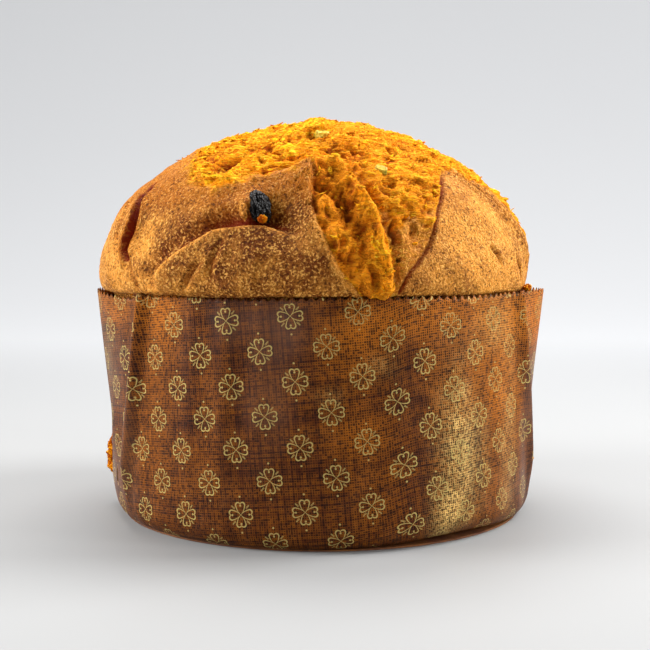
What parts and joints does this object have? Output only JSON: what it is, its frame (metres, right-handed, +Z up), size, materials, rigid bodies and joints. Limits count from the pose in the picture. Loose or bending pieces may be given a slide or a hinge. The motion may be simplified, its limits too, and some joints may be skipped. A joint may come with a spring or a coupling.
{
  "type": "panettone",
  "caption": "Tall domed fruit bread baked in a round paper case with a pinked rim, with a split and torn crust and fruit showing at its surface.",
  "frame": {"origin": "centre of the case's flat base, where it rests", "axes": "+Z up; -Y the front, with the torn crumb strip and the raisin; +X to the right seen from the front"},
  "size_m": [0.1837, 0.1765, 0.1605],
  "materials": {
    "crust": null,
    "case_paper": "brown baking paper with a woven pattern and gold four-lobed print, stained by butter in places",
    "raisin": null,
    "citron": null
  },
  "bodies": {
    "root": {"loaf": "crust", "paper_case": "case_paper", "raisin_front": "raisin", "raisin_split": "raisin", "citron_top": "citron", "citron_side": "citron"}
  },
  "joints": []
}
